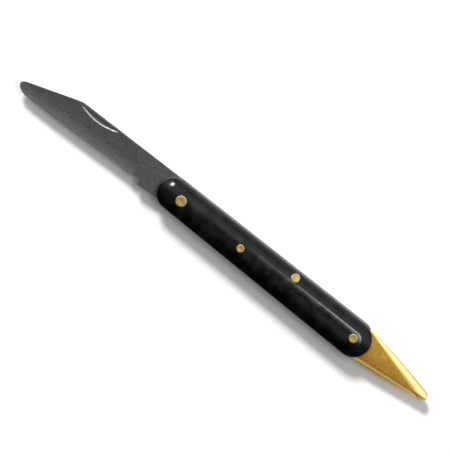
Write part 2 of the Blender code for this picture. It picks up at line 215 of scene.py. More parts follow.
liner_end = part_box("upper_liner")[1].x
liner_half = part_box("upper_liner")[1].z - MIDDLE
TAIL_HALF = handle_high.y
FRONT_CENTRE = handle_low.x + FRONT_HALF
TAIL_CENTRE = handle_high.x - TAIL_HALF


def on_knife(x, y):
    """A place seen from above, in millimetres from the pivot: towards the lifter and to the back."""
    return Vector((PIVOT.x + x * MM, PIVOT.y + y * MM))


def arc_points(centre, radius, start, end, pieces=2):
    """Curve points along an arc, each with the handles that keep it round."""
    step = (end - start) / pieces
    pull = 4 / 3 * math.tan(step / 4) * radius
    points = []
    for index in range(pieces + 1):
        out = Vector((math.cos(start + step * index), math.sin(start + step * index)))
        side = Vector((-out.y, out.x)) * pull
        spot = Vector(centre) + out * radius
        before = spot - side if index else None
        after = spot + side if index < pieces else None
        points.append((spot, before, after))
    return points


def handle_outline(inset=0.0):
    """The handle from above, or a smaller one inside it: a bar that widens to its round tail."""
    tail = arc_points((TAIL_CENTRE, 0), TAIL_HALF - inset, -math.pi / 2, math.pi / 2)
    front_centre = (FRONT_CENTRE, FRONT_RISE)
    return tail + arc_points(front_centre, FRONT_HALF - inset, math.pi / 2, 3 * math.pi / 2)


def cut_plate(name, outline, low, high):
    """A plate between two heights, cut to an outline whose points have handles or straight sides."""
    bpy.ops.object.select_all(action="DESELECT")
    bpy.ops.curve.primitive_bezier_circle_add()
    plate = bpy.context.object
    plate.name = name
    plate.data.resolution_u = OUTLINE_STEPS
    points = plate.data.splines[0].bezier_points
    points.add(len(outline) - len(points))
    for point, (spot, before, after) in zip(points, outline):
        point.handle_left_type = "FREE" if before else "VECTOR"
        point.handle_right_type = "FREE" if after else "VECTOR"
        point.co = spot.to_3d()
        if before:
            point.handle_left = before.to_3d()
        if after:
            point.handle_right = after.to_3d()
    bpy.ops.object.convert(target="MESH")
    bpy.ops.object.mode_set(mode="EDIT")
    bpy.ops.mesh.select_all(action="SELECT")
    bpy.ops.mesh.remove_doubles(threshold=WELD)
    bpy.ops.mesh.edge_face_add()
    bpy.ops.transform.translate(value=(0, 0, low))
    bpy.ops.mesh.extrude_region_move(TRANSFORM_OT_translate={"value": (0, 0, high - low)})
    bpy.ops.mesh.select_all(action="SELECT")
    bpy.ops.mesh.normals_make_consistent(inside=False)
    bpy.ops.object.mode_set(mode="OBJECT")
    return bpy.context.object


def make_active(piece):
    """Selects one piece and no other."""
    bpy.ops.object.select_all(action="DESELECT")
    bpy.context.view_layer.objects.active = piece
    piece.select_set(True)


def pick(piece, test, kind="FACE"):
    """Goes into edit mode with only the faces or vertices selected that pass the test."""
    make_active(piece)
    bpy.ops.object.mode_set(mode="EDIT")
    bpy.ops.mesh.select_mode(type=kind)
    bpy.ops.mesh.select_all(action="DESELECT")
    bpy.ops.object.mode_set(mode="OBJECT")
    for part in piece.data.polygons if kind == "FACE" else piece.data.vertices:
        part.select = test(part)
    bpy.ops.object.mode_set(mode="EDIT")


def cut_off(piece, spot, direction):
    """Removes what lies along direction from spot, and closes the cut."""
    pick(piece, lambda face: True)
    bpy.ops.mesh.bisect(
        plane_co=spot, plane_no=direction, clear_outer=True, use_fill=True, threshold=WELD
    )
    bpy.ops.object.mode_set(mode="OBJECT")


def apply_modifier(piece, kind, **settings):
    """Gives the piece one modifier and applies it."""
    make_active(piece)
    step = piece.modifiers.new(kind.lower(), kind)
    for name, value in settings.items():
        setattr(step, name, value)
    bpy.ops.object.modifier_apply(modifier=step.name)


def cut_by(piece, cutter, operation="DIFFERENCE"):
    """Cuts the piece by another shape, or joins the two. The other shape is then gone."""
    apply_modifier(piece, "BOOLEAN", operation=operation, object=cutter, solver="EXACT")
    bpy.data.objects.remove(cutter)


def middle_of(node):
    low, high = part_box(node)
    return (low + high) / 2


def pin_radius(node):
    low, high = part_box(node)
    return (high.x - low.x) / 2


def drill(piece, *pins):
    """Upright holes through the piece, a little wider than the pins."""
    for pin in pins:
        spot = middle_of(pin)
        spot.z = MIDDLE
        bpy.ops.mesh.primitive_cylinder_add(
            vertices=HOLE_SIDES, radius=pin_radius(pin) + PIN_PLAY, depth=4 * MIDDLE, location=spot
        )
        cut_by(piece, bpy.context.object)


def mark_faces(piece, name, value_of):
    """Stores a value for each face, which the finishes read by its name."""
    mark = piece.data.attributes.new(name, "FLOAT", "FACE")
    mark.data.foreach_set("value", [value_of(face) for face in piece.data.polygons])


def break_edges(piece, width, angle=EDGE_ANGLE):
    """Takes the sharpness off the edges, marks them as rubbed bright with a painted highlight, and keeps
    the flats flat.
    """
    apply_modifier(
        piece,
        "BEVEL",
        width=width,
        segments=BREAK_STEPS,
        limit_method="ANGLE",
        angle_limit=angle,
        material=1,
    )
    mark_faces(piece, "rub_and_glint", lambda face: float(face.material_index == 1))
    for face in piece.data.polygons:
        face.material_index = 0
    bpy.ops.object.shade_smooth_by_angle(angle=angle)
    apply_modifier(piece, "WEIGHTED_NORMAL", keep_sharp=True)


def new_group(name, output, **inputs):
    """A shared effect: a shader node group with values or vectors in and one value out."""
    group = bpy.data.node_groups.new(name, "ShaderNodeTree")
    for label, value in inputs.items():
        kind = "NodeSocketVector" if isinstance(value, tuple) else "NodeSocketFloat"
        socket = group.interface.new_socket(label, in_out="INPUT", socket_type=kind)
        socket.default_value = value
    group.interface.new_socket(output, in_out="OUTPUT", socket_type="NodeSocketFloat")
    return group, new_node(group, "NodeGroupInput"), new_node(group, "NodeGroupOutput")


# Fine lines that a belt or wheel leaves, drawn out along one direction
LINE_SCALE = 1000.0
ground_lines, given, result = new_group(
    "ground_lines", "Lines", Stretch=(1.0, 1.0, 1.0), Turn=(0.0, 0.0, 0.0), Detail=3.0
)
spot = new_node(ground_lines, "ShaderNodeTexCoord")
drawn_out = new_node(ground_lines, "ShaderNodeMapping")
lines = new_node(ground_lines, "ShaderNodeTexNoise", inputs={"Scale": LINE_SCALE, "Roughness": 0.6})
ground_lines.links.new(spot.outputs["Object"], drawn_out.inputs["Vector"])
ground_lines.links.new(given.outputs["Stretch"], drawn_out.inputs["Scale"])
ground_lines.links.new(given.outputs["Turn"], drawn_out.inputs["Rotation"])
ground_lines.links.new(given.outputs["Detail"], lines.inputs["Detail"])
ground_lines.links.new(drawn_out.outputs["Vector"], lines.inputs["Vector"])
ground_lines.links.new(lines.outputs["Fac"], result.inputs["Lines"])

# Cloudy patches from handling and cleaning
handled, given, result = new_group("handled", "Cloud", Size=300.0)
spot = new_node(handled, "ShaderNodeTexCoord")
cloud = new_node(handled, "ShaderNodeTexNoise", inputs={"Detail": 4.0, "Roughness": 0.55})
handled.links.new(spot.outputs["Object"], cloud.inputs["Vector"])
handled.links.new(given.outputs["Size"], cloud.inputs["Scale"])
handled.links.new(cloud.outputs["Fac"], result.inputs["Cloud"])

# Faces that are rubbed bright or carry a painted highlight, unevenly
PATCH_SCALE = 900.0
PATCH_RANGE = (0.3, 0.6)
rubs_and_glints, given, result = new_group("rubs_and_glints", "Mask", Amount=1.0, Least=0.0)
edge = new_node(rubs_and_glints, "ShaderNodeAttribute", attribute_name="rub_and_glint")
spot = new_node(rubs_and_glints, "ShaderNodeTexCoord")
patchy = new_node(rubs_and_glints, "ShaderNodeTexNoise", inputs={"Scale": PATCH_SCALE, "Detail": 3.0})
uneven = new_node(
    rubs_and_glints,
    "ShaderNodeMapRange",
    inputs={"From Min": PATCH_RANGE[0], "From Max": PATCH_RANGE[1]},
)
uneven_rub_and_glint = new_node(rubs_and_glints, "ShaderNodeMath", operation="MULTIPLY")
amount = new_node(rubs_and_glints, "ShaderNodeMath", operation="MULTIPLY")
rubs_and_glints.links.new(spot.outputs["Object"], patchy.inputs["Vector"])
rubs_and_glints.links.new(patchy.outputs["Fac"], uneven.inputs["Value"])
rubs_and_glints.links.new(given.outputs["Least"], uneven.inputs["To Min"])
rubs_and_glints.links.new(uneven.outputs["Result"], uneven_rub_and_glint.inputs[0])
rubs_and_glints.links.new(edge.outputs["Fac"], uneven_rub_and_glint.inputs[1])
rubs_and_glints.links.new(uneven_rub_and_glint.outputs[0], amount.inputs[0])
rubs_and_glints.links.new(given.outputs["Amount"], amount.inputs[1])
rubs_and_glints.links.new(amount.outputs[0], result.inputs["Mask"])

WHOLE = (0.0, 1.0)
NOISE_CORE = (0.35, 0.65)


def new_finish(name, metallic):
    """A material with its shader, ready for its effects."""
    finish = bpy.data.materials.new(name)
    finish.use_nodes = True
    shader = finish.node_tree.nodes["Principled BSDF"]
    shader.inputs["Metallic"].default_value = metallic
    return finish, finish.node_tree, shader


def add_effect(tree, group, **inputs):
    """A shared effect in a material, with its inputs set."""
    return new_node(tree, "ShaderNodeGroup", inputs, node_tree=group)


def blend(tree, mask, low, high):
    """A colour between two, each a socket or a constant, by a mask."""
    mix = new_node(tree, "ShaderNodeMix", data_type="RGBA")
    tree.links.new(mask, mix.inputs["Factor"])
    for socket, colour in ((mix.inputs[6], low), (mix.inputs[7], high)):
        if isinstance(colour, tuple):
            socket.default_value = colour
        else:
            tree.links.new(colour, socket)
    return mix.outputs[2]


def dimmed(tree, colour, value):
    """A colour made darker or lighter by a value around one."""
    mix = new_node(tree, "ShaderNodeMix", data_type="RGBA", blend_type="MULTIPLY", inputs={0: 1.0})
    tree.links.new(colour, mix.inputs[6])
    tree.links.new(value, mix.inputs[7])
    return mix.outputs[2]


def span(tree, value, taken=WHOLE, given=WHOLE):
    """A value moved from the range that is taken to the one that is given, and held within it."""
    move = new_node(tree, "ShaderNodeMapRange")
    tree.links.new(value, move.inputs["Value"])
    for label, number in zip(("From Min", "From Max", "To Min", "To Max"), (*taken, *given)):
        move.inputs[label].default_value = number
    return move.outputs["Result"]


def grain(tree, height, depth, shader):
    """Turns a height into fine relief on the surface."""
    relief = new_node(tree, "ShaderNodeBump", inputs={"Strength": 1.0, "Distance": depth})
    tree.links.new(height, relief.inputs["Height"])
    tree.links.new(relief.outputs["Normal"], shader.inputs["Normal"])


spring_steel, tree, shader = new_finish("ground_spring_steel", 1.0)
lines = add_effect(tree, ground_lines, Stretch=(0.5, 8.0, 8.0))
touch = add_effect(tree, handled, Size=260.0)
rub_and_glint = add_effect(tree, rubs_and_glints, Amount=1.0, Least=0.5)
clouded = blend(tree, touch.outputs["Cloud"], STEEL_DARK, STEEL_GREY)
lined = dimmed(tree, clouded, span(tree, lines.outputs["Lines"], NOISE_CORE, STEEL_LINES))
# Rubbed edges turn pale steel: partly wear, partly a painted highlight
bright = blend(tree, rub_and_glint.outputs["Mask"], lined, STEEL_WORN_GLINT)
rough = span(tree, rub_and_glint.outputs["Mask"], given=STEEL_ROUGHNESS)
tree.links.new(bright, shader.inputs["Base Color"])
tree.links.new(rough, shader.inputs["Roughness"])
grain(tree, lines.outputs["Lines"], STEEL_GRAIN, shader)


def join_model(piece, body, node, finish):
    """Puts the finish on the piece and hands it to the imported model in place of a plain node."""
    piece.data.materials.clear()
    piece.data.materials.append(finish)
    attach(piece, body)
    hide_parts(node)


for side in ("upper", "lower"):
    low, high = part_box(side + "_liner")
    liner = cut_plate(side + "_liner_plate", handle_outline(), low.z, high.z)
    cut_off(liner, (liner_end, 0, 0), (1, 0, 0))
    drill(liner, *THROUGH_PINS, side + "_scale_rivet")
    break_edges(liner, STEEL_BREAK)
    join_model(liner, "handle", side + "_liner", spring_steel)

# Scales
# Two black moulded scales, satin from handling, riveted to the liners. Each is built up from the
# handle's outline in narrow rings: an upright wall, the rounded edge, then a slightly arched top.
LINER_LEDGE = 0.42 * MM
SCALE_WALL = 1.5 * MM
ROUND_START = math.radians(32.0)
ROUND_STOP = math.radians(69.6)
ROUND_STEPS = 30
CROWN_HALF = 2.0 * MM
CROWN_SLOPE = math.tan(math.radians(6.5))
CROWN_STEPS = 10
CROWN_LEFT = 0.2 * MM
LEVEL = 0.999
SCALE_BLACK = (0.0015, 0.0015, 0.0015, 1.0)
SCALE_WORN = (0.0065, 0.0065, 0.0065, 1.0)
SCALE_CLOUDS = (0.42, 0.66)
SCALE_TOUCH = (0.3, 0.7)
SCALE_ROUGHNESS = (0.1, 0.24)
SCALE_IOR = 1.55
SCALE_GRAIN = 0.0015 * MM

crown_rise = CROWN_SLOPE * CROWN_HALF / 2
round_turn = math.cos(ROUND_START) - math.cos(ROUND_STOP)
round_lift = math.sin(ROUND_STOP) - math.sin(ROUND_START)
round_run = (FRONT_HALF - LINER_LEDGE / 2 - CROWN_HALF) / round_turn
round_rise = (handle_high.z - handle_low.z - SCALE_WALL - crown_rise) / round_lift


def facing(side):
    """A test for the level faces that look up, for a side of 1, or down, for -1."""
    return lambda face: face.normal.z * side > LEVEL


form = cut_plate(
    "scale_form", handle_outline(LINER_LEDGE / 2), handle_low.z, handle_low.z + SCALE_WALL
)
pick(form, lambda face: True)
bpy.ops.transform.translate(value=(0, -LINER_LEDGE / 2, 0))
bpy.ops.object.mode_set(mode="OBJECT")
pick(form, facing(1))
for step in range(ROUND_STEPS):
    start = ROUND_START + (ROUND_STOP - ROUND_START) * step / ROUND_STEPS
    end = ROUND_START + (ROUND_STOP - ROUND_START) * (step + 1) / ROUND_STEPS
    bpy.ops.mesh.inset(
        thickness=round_run * (math.cos(start) - math.cos(end)),
        depth=round_rise * (math.sin(end) - math.sin(start)),
    )
for step in range(CROWN_STEPS):
    start = 1 - step / CROWN_STEPS
    end = 1 - (step + 1) / CROWN_STEPS
    bpy.ops.mesh.inset(
        thickness=(CROWN_HALF - CROWN_LEFT) / CROWN_STEPS, depth=crown_rise * (start**2 - end**2)
    )
bpy.ops.object.mode_set(mode="OBJECT")


def copy_of(piece, name, turned_over=False):
    """A copy of a piece, or one that is mirrored in the knife's middle plane."""
    make_active(piece)
    bpy.ops.object.duplicate()
    copy = bpy.context.object
    copy.name = name
    if turned_over:
        bpy.ops.object.mode_set(mode="EDIT")
        bpy.ops.mesh.select_all(action="SELECT")
        bpy.ops.transform.resize(value=(1, 1, -1), center_override=(0, 0, MIDDLE))
        bpy.ops.mesh.normals_make_consistent(inside=False)
        bpy.ops.object.mode_set(mode="OBJECT")
    return copy


black_scale, tree, shader = new_finish("satin_black", 0.0)
touch = add_effect(tree, handled, Size=260.0)
lines = add_effect(tree, ground_lines, Stretch=(0.3, 4.0, 4.0), Detail=4.0)
shader.inputs["IOR"].default_value = SCALE_IOR
clouds = span(tree, touch.outputs["Cloud"], SCALE_CLOUDS)
rough = span(tree, touch.outputs["Cloud"], SCALE_TOUCH, SCALE_ROUGHNESS)
tree.links.new(blend(tree, clouds, SCALE_BLACK, SCALE_WORN), shader.inputs["Base Color"])
tree.links.new(rough, shader.inputs["Roughness"])
grain(tree, lines.outputs["Lines"], SCALE_GRAIN, shader)

for side in ("upper", "lower"):
    scale = copy_of(form, side + "_handle_scale", turned_over=side == "lower")
    drill(scale, *THROUGH_PINS, side + "_scale_rivet")
    bpy.ops.object.shade_smooth_by_angle(angle=EDGE_ANGLE)
    join_model(scale, "handle", side + "_scale", black_scale)

# Back spring
# One flat bar of ground spring steel between the liners: a thin arm over the blade's tang, a boss
# round its pin and a tail along the lifter's tang. It is cut to its outline and its edges are broken.
TAIL_TURN = math.radians(68.21)
# Places on the spring, in millimetres from the pivot
SPRING_NOSE = -3.0
SPRING_BACK = 6.105
ARM_BELLY = 4.27
ARM_END = 30.0
BOSS_START = 43.3
BOSS_END = 52.5
TAIL_START = 62.5
TAIL_END = 79.55
TAIL_BELLY = 2.35
spring_low, spring_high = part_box("back_spring")
boss_belly = (spring_low.y - PIVOT.y) / MM
to_boss = (ARM_END + BOSS_START) / 2
from_boss = (BOSS_END + TAIL_START) / 2
spring_outline = [
    (on_knife(SPRING_NOSE, SPRING_BACK), None, None),
    (on_knife(SPRING_NOSE, ARM_BELLY), None, None),
    (on_knife(ARM_END, ARM_BELLY), None, on_knife(to_boss, ARM_BELLY)),
    (on_knife(BOSS_START, boss_belly), on_knife(to_boss, boss_belly), None),
    (on_knife(BOSS_END, boss_belly), None, on_knife(from_boss, boss_belly)),
    (on_knife(TAIL_START, TAIL_BELLY), on_knife(from_boss, TAIL_BELLY), None),
    (on_knife(TAIL_END, TAIL_BELLY), None, None),
]
spring_outline += arc_points((TAIL_CENTRE, 0), TAIL_HALF, TAIL_TURN, math.pi / 2, 1)
spring = cut_plate("back_spring_bar", spring_outline, spring_low.z, spring_high.z)
drill(spring, "spring_pin", "tail_pin")
break_edges(spring, STEEL_BREAK)
join_model(spring, "handle", "back_spring", spring_steel)

# Bark lifter
# One piece of brass, a pointed head with two bevels on each face and a tang that the tail pin holds.
# Half of the head is cut out, tapered, bevelled and mirrored, then joined to the tang and worn soft.
LIFTER_SWELL = 0.8 * MM
LIFTER_DROP = 1.0 * MM
LIFTER_TIP_HALF = 1.1 * MM
SHOULDER_GAP = 0.05 * MM
NOSE_RADIUS = 1.9 * MM
NOSE_LEAN = math.radians(10.385)
BACK_SLOPE = math.radians(8.0)
BELLY_SLOPE = math.radians(47.0)
TANG_ROUND = 6.55 * MM
TANG_TURN = math.radians(-79.52)
# Places on the lifter, in millimetres from the pivot
LIFTER_ROOT = (78.3, 6.108)
NOSE_CENTRE = (108.3, 0.0)
BACK_BEVEL = ((102.0, 0.45), (86.0, 4.2))
BELLY_BEVEL = ((86.0, -4.05), (102.0, -2.3))
TANG_FRONT = 70.8
TANG_END = 80.9
TANG_BACK = 2.3
TANG_BELLY = -6.48
TANG_CORNER = -3.84
# Wear, painted highlights, painted shade and colour
WEAR_STEP = 0.15 * MM
WEAR_FACTOR = 0.5
WEAR_ROUNDS = 8
# Where the back bevel carries a painted highlight and the belly bevel a band of painted reflection
GLINT_ROOT = 0.3 * MM
GLINT_TIP = 2.0 * MM
GLINT_FULL = 0.2 * MM
GLINT_FADE = 0.7 * MM
GLINT_LOSS = 0.5
GLINT_LEAST = 0.4
BELLY_GLINT = 0.45
BELLY_GLINT_BAND = (-0.25 * MM, 1.15 * MM)
BRASS = (0.62, 0.36, 0.065, 1.0)
# Dull brass, for the dark lines of the grain and for the painted shade towards the belly
BRASS_DULL_AND_SHADE = (0.27, 0.135, 0.016, 1.0)
BRASS_BRIGHT = (0.66, 0.42, 0.1, 1.0)
BRASS_GOLD_GLINT = (0.92, 0.62, 0.18, 1.0)
BRASS_PALE_GLINT = (0.98, 0.82, 0.43, 1.0)
BRASS_LINES = (0.36, 0.64)
BRASS_CLOUDS = (0.4, 0.8)
BRASS_PATCHES = (0.0, 0.5)
BELLY_REACH = (-3.5 * MM, 1.5 * MM)
BELLY_PAINTED_SHADE = (0.6, 0.0)
GOLD_GLINT_SPAN = (0.0, 0.5)
PALE_GLINT_SPAN = (0.4, 0.9)
BRASS_ROUGHNESS = (0.38, 0.54)
BRASS_GRAIN = 0.012 * MM
shoulder = liner_end + SHOULDER_GAP
lifter_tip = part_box("bark_lifter")[1].x

root = on_knife(*LIFTER_ROOT)
nose_end = math.pi / 2 - NOSE_LEAN
nose = arc_points(on_knife(*NOSE_CENTRE), NOSE_RADIUS, -nose_end, nose_end)
back = nose[-1][0]
third = (back - root) / 3
root_pull = root + third + Vector((0, LIFTER_SWELL))
nose_pull = back - third.length * Vector((math.cos(NOSE_LEAN), -math.sin(NOSE_LEAN)))


def flipped(spot):
    return Vector((spot.x, -spot.y))


def dropped(spot):
    """A place on the lifter once its centre line leans towards the belly."""
    if spot is None:
        return None
    lean = (spot.x - shoulder) / (lifter_tip - shoulder)
    return Vector((spot.x, spot.y - lean * LIFTER_DROP))


lifter_outline = [
    (flipped(root), None, flipped(root_pull)),
    (nose[0][0], flipped(nose_pull), nose[0][2]),
    nose[1],
    (back, nose[2][1], nose_pull),
    (root, root_pull, None),
]
lifter_outline = [tuple(dropped(spot) for spot in point) for point in lifter_outline]
lifter = cut_plate("bark_lifter_bar", lifter_outline, MIDDLE, MIDDLE + liner_half)
cut_off(lifter, (shoulder, 0, 0), (-1, 0, 0))

root_top = Vector((handle_high.x, 0, MIDDLE + liner_half))
taper = (liner_half - LIFTER_TIP_HALF) / (lifter_tip - handle_high.x)
face_up = Vector((taper, 0, 1)).normalized()
cut_off(lifter, root_top, face_up)


def on_face(x, y):
    """A place on the lifter's tapered face, in millimetres from the pivot as seen from above."""
    spot = on_knife(x, y).to_3d()
    spot.z = root_top.z - taper * (spot.x - root_top.x)
    return spot


def bevel_off(line, slope):
    """Grinds a flat bevel along a line on the lifter's face, at a slope from that face."""
    start, end = line
    turn = Matrix.Rotation(slope, 3, end - start)
    cut_off(lifter, start, turn @ face_up)


back_bevel = [on_face(*place) for place in BACK_BEVEL]
belly_bevel = [on_face(*place) for place in BELLY_BEVEL]
bevel_off(back_bevel, BACK_SLOPE)
bevel_off(belly_bevel, BELLY_SLOPE)
pick(lifter, facing(-1))
bpy.ops.mesh.delete(type="FACE")
bpy.ops.object.mode_set(mode="OBJECT")
bpy.ops.object.empty_add(location=(0, 0, MIDDLE))
mirror = bpy.context.object
apply_modifier(
    lifter, "MIRROR", use_axis=(False, False, True), mirror_object=mirror, merge_threshold=WELD
)
bpy.data.objects.remove(mirror)

tang_outline = [
    (on_knife(TANG_END, TANG_BACK), None, None),
    (on_knife(TANG_FRONT, TANG_BACK), None, None),
    (on_knife(TANG_FRONT, TANG_BELLY), None, None),
    *arc_points((TAIL_CENTRE, 0), TANG_ROUND, -math.pi / 2, TANG_TURN, 1),
    (on_knife(TANG_END, TANG_CORNER), None, None),
]
cut_by(lifter, cut_plate("tang", tang_outline, spring_low.z, spring_high.z), "UNION")
drill(lifter, "tail_pin")
apply_modifier(lifter, "REMESH", mode="VOXEL", voxel_size=WEAR_STEP, adaptivity=0.0)
apply_modifier(lifter, "SMOOTH", factor=WEAR_FACTOR, iterations=WEAR_ROUNDS)
bpy.ops.object.shade_smooth()


def past(line, spot):
    """How far a place lies beyond a bevel's line, seen from above."""
    start, end = line
    along = (end - start).to_2d().normalized()
    out = (spot - start).to_2d()
    return out.x * along.y - out.y * along.x


def glint_of(face):
    """How much painted highlight a face of the lifter gets: most at its back bevel, a little at its
    belly bevel.
    """
    over_back = past(back_bevel, face.center)
    reach = (face.center.x - handle_high.x) / (lifter_tip - handle_high.x)
    before = GLINT_ROOT + (GLINT_TIP - GLINT_ROOT) * reach
    if over_back > GLINT_FADE:
        return max(GLINT_LEAST, 1 - GLINT_LOSS * (over_back - GLINT_FADE) / GLINT_FADE)
    if over_back > -before:
        return min(1.0, (over_back + before) / (GLINT_FULL + before))
    over_belly = past(belly_bevel, face.center)
    return BELLY_GLINT if BELLY_GLINT_BAND[0] < over_belly < BELLY_GLINT_BAND[1] else 0.0


mark_faces(lifter, "rub_and_glint", glint_of)

lifter_brass, tree, shader = new_finish("brushed_brass", 1.0)
lines = add_effect(tree, ground_lines, Stretch=(0.9, 3.5, 5.0), Detail=5.0)
touch = add_effect(tree, handled, Size=330.0)
rub_and_glint = add_effect(tree, rubs_and_glints, Amount=0.9, Least=0.8)
spot = new_node(tree, "ShaderNodeTexCoord")
spot_parts = new_node(tree, "ShaderNodeSeparateXYZ")
tree.links.new(spot.outputs["Object"], spot_parts.inputs["Vector"])
patches = span(tree, touch.outputs["Cloud"], BRASS_CLOUDS, BRASS_PATCHES)
# Painted shade: the face darkens towards the belly, which turns away from the light
belly_painted_shade = span(tree, spot_parts.outputs["Y"], BELLY_REACH, BELLY_PAINTED_SHADE)
colour = blend(tree, span(tree, lines.outputs["Lines"], BRASS_LINES), BRASS_DULL_AND_SHADE, BRASS)
colour = blend(tree, patches, colour, BRASS_BRIGHT)
colour = blend(tree, belly_painted_shade, colour, BRASS_DULL_AND_SHADE)
# Painted highlight and reflection: golden, then pale brass, on the bevels marked above
colour = blend(tree, span(tree, rub_and_glint.outputs["Mask"], GOLD_GLINT_SPAN), colour, BRASS_GOLD_GLINT)
colour = blend(tree, span(tree, rub_and_glint.outputs["Mask"], PALE_GLINT_SPAN), colour, BRASS_PALE_GLINT)
rough = span(tree, touch.outputs["Cloud"], given=BRASS_ROUGHNESS)
tree.links.new(colour, shader.inputs["Base Color"])
tree.links.new(rough, shader.inputs["Roughness"])
grain(tree, lines.outputs["Lines"], BRASS_GRAIN, shader)
join_model(lifter, "handle", "bark_lifter", lifter_brass)

# Blade
# Dark carbon steel that turns on the pivot pin. It is cut to its outline and ground nearly flat from the
# spine to the edge by two large wheels, short of the flat tang, then given a nail nick by the spine.
KINK_ROUND = 2.6 * MM
TIP_PULLS = (1.43 * MM, 1.07 * MM, 1.4 * MM, 2.53 * MM)
NOTCH_RADIUS = 1.5 * MM
NOTCH_START = math.radians(150.0)
CAM_RADIUS = 4.2 * MM
CAM_START = math.radians(-67.25)
CAM_END = math.radians(72.25)
EDGE_HALF = 0.12 * MM
WHEEL_RADIUS = 200.0 * MM
WHEEL_SIDES = 2160
WHEEL_REACH = 3.0 * MM
WHEEL_LENGTH = 120.0 * MM
PLUNGE_RADIUS = 15.0 * MM
PLUNGE_STEPS = 24
PLUNGE_RUN = 5.6 * MM
NICK_WIDTH = 1.75 * MM
NICK_HALF = 8.1 * MM
NICK_RIM = 0.4 * MM
NICK_DEPTH = 0.19 * MM
NICK_WALL = math.radians(62.0)
NICK_SIDES = 288
NICK_CUTTER = 1.0 * MM
RIM_UP = (0.6, 0.95)
RIM_BACK = 0.2
FLOOR_GLINT = 0.15
BLADE_BREAK = 0.05 * MM
BLADE_ANGLE = math.radians(18.0)
TANG_LEVEL = 0.9998
# Places on the blade, in millimetres from the pivot
SPINE_BACK = (-3.3, 6.05)
SPINE_KINK = (-48.5, 5.39)
TIP_TOP = (-67.2, -0.95)
TIP_FRONT = (-69.8, -2.9)
EDGE_FRONT = (-65.2, -5.45)
NOTCH_CENTRE = (-17.29, -4.79)
TANG_KICK = (-15.79, -5.397)
CAM_TOP = 4.0
NICK_PLACE = (-40.1, 4.66)
NICK_REACH = (-50.0, -31.0)
# Colour and finish
GROUND_BACK = (0.19, 0.19, 0.19, 1.0)
GROUND_EDGE = (0.32, 0.32, 0.32, 1.0)
TANG_GREY = (0.126, 0.126, 0.126, 1.0)
BLADE_WORN_GLINT = (0.66, 0.66, 0.65, 1.0)
EDGE_TURN = 0.03
EDGE_REACH = (-2.9 * MM, 1.2 * MM)
EDGE_SHARE = (1.0, 0.0)
BLADE_LINES = (0.7, 1.3)
BLADE_ROUGHNESS = (0.46, 0.62)
BLADE_GRAIN = 0.005 * MM
blade_low, blade_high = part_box("blade")

spine_back = on_knife(*SPINE_BACK)
kink = on_knife(*SPINE_KINK)
tip_top = on_knife(*TIP_TOP)
tip_front = on_knife(*TIP_FRONT)
edge_front = on_knife(*EDGE_FRONT)
spine_run = (spine_back - kink).normalized()
drop_run = (tip_top - kink).normalized()
notch = arc_points(on_knife(*NOTCH_CENTRE), NOTCH_RADIUS, NOTCH_START, 0.0)
heel = notch[0][0]
edge_third = (heel - edge_front) / 3
blade_outline = [
    (spine_back, None, None),
    (kink + spine_run * KINK_ROUND, None, kink),
    (kink + drop_run * KINK_ROUND, kink, None),
    (tip_top, None, tip_top + drop_run * TIP_PULLS[0]),
    (tip_front, tip_front + Vector((0, TIP_PULLS[1])), tip_front - Vector((0, TIP_PULLS[2]))),
    (edge_front, edge_front - Vector((TIP_PULLS[3], 0)), edge_front + Vector((edge_third.x, 0))),
    (heel, heel - edge_third, notch[0][2]),
    notch[1],
    notch[2],
    (on_knife(*TANG_KICK), None, None),
    *arc_points(PIVOT.to_2d(), CAM_RADIUS, CAM_START, CAM_END, 3),
    (on_knife(SPINE_BACK[0], CAM_TOP), None, None),
]
blade = cut_plate("blade_bar", blade_outline, blade_low.z, blade_high.z)

edge_at = Vector((edge_front.x, edge_front.y, MIDDLE + EDGE_HALF))
heel_at = Vector((heel.x, heel.y, MIDDLE + EDGE_HALF))
spine_at = spine_back.to_3d() + Vector((0, 0, blade_high.z))
ground_along = (heel_at - edge_at).normalized()
ground_up = ground_along.cross(spine_at - heel_at).normalized()
ground_face = Matrix((ground_along, ground_up.cross(ground_along), ground_up)).transposed().to_4x4()
ground_face.translation = heel_at
ground_width = (ground_face.inverted() @ spine_at).y

bpy.ops.mesh.primitive_cylinder_add(
    vertices=WHEEL_SIDES, radius=WHEEL_RADIUS, depth=WHEEL_LENGTH, rotation=(0, math.pi / 2, 0)
)
wheel = bpy.context.object
bpy.ops.object.transform_apply()
wheel_top = WHEEL_REACH - WHEEL_RADIUS
cut_off(wheel, (0, 0, wheel_top), (0, 0, 1))
pick(wheel, lambda vert: vert.co.x > 0 and vert.co.z < wheel_top - WELD, "VERT")
bpy.ops.mesh.bevel(offset=PLUNGE_RADIUS, segments=PLUNGE_STEPS, affect="EDGES")
bpy.ops.object.mode_set(mode="OBJECT")
wheel_end = PLUNGE_RADIUS - PLUNGE_RUN
wheel_height = math.sqrt(WHEEL_RADIUS**2 - (ground_width / 2) ** 2)
wheel_place = (wheel_end - WHEEL_LENGTH / 2, ground_width / 2, wheel_height)
wheel.matrix_world = ground_face @ Matrix.Translation(wheel_place)
bpy.ops.object.transform_apply()
lower_wheel = copy_of(wheel, "lower_wheel", turned_over=True)
cut_by(blade, wheel)
cut_by(blade, lower_wheel)

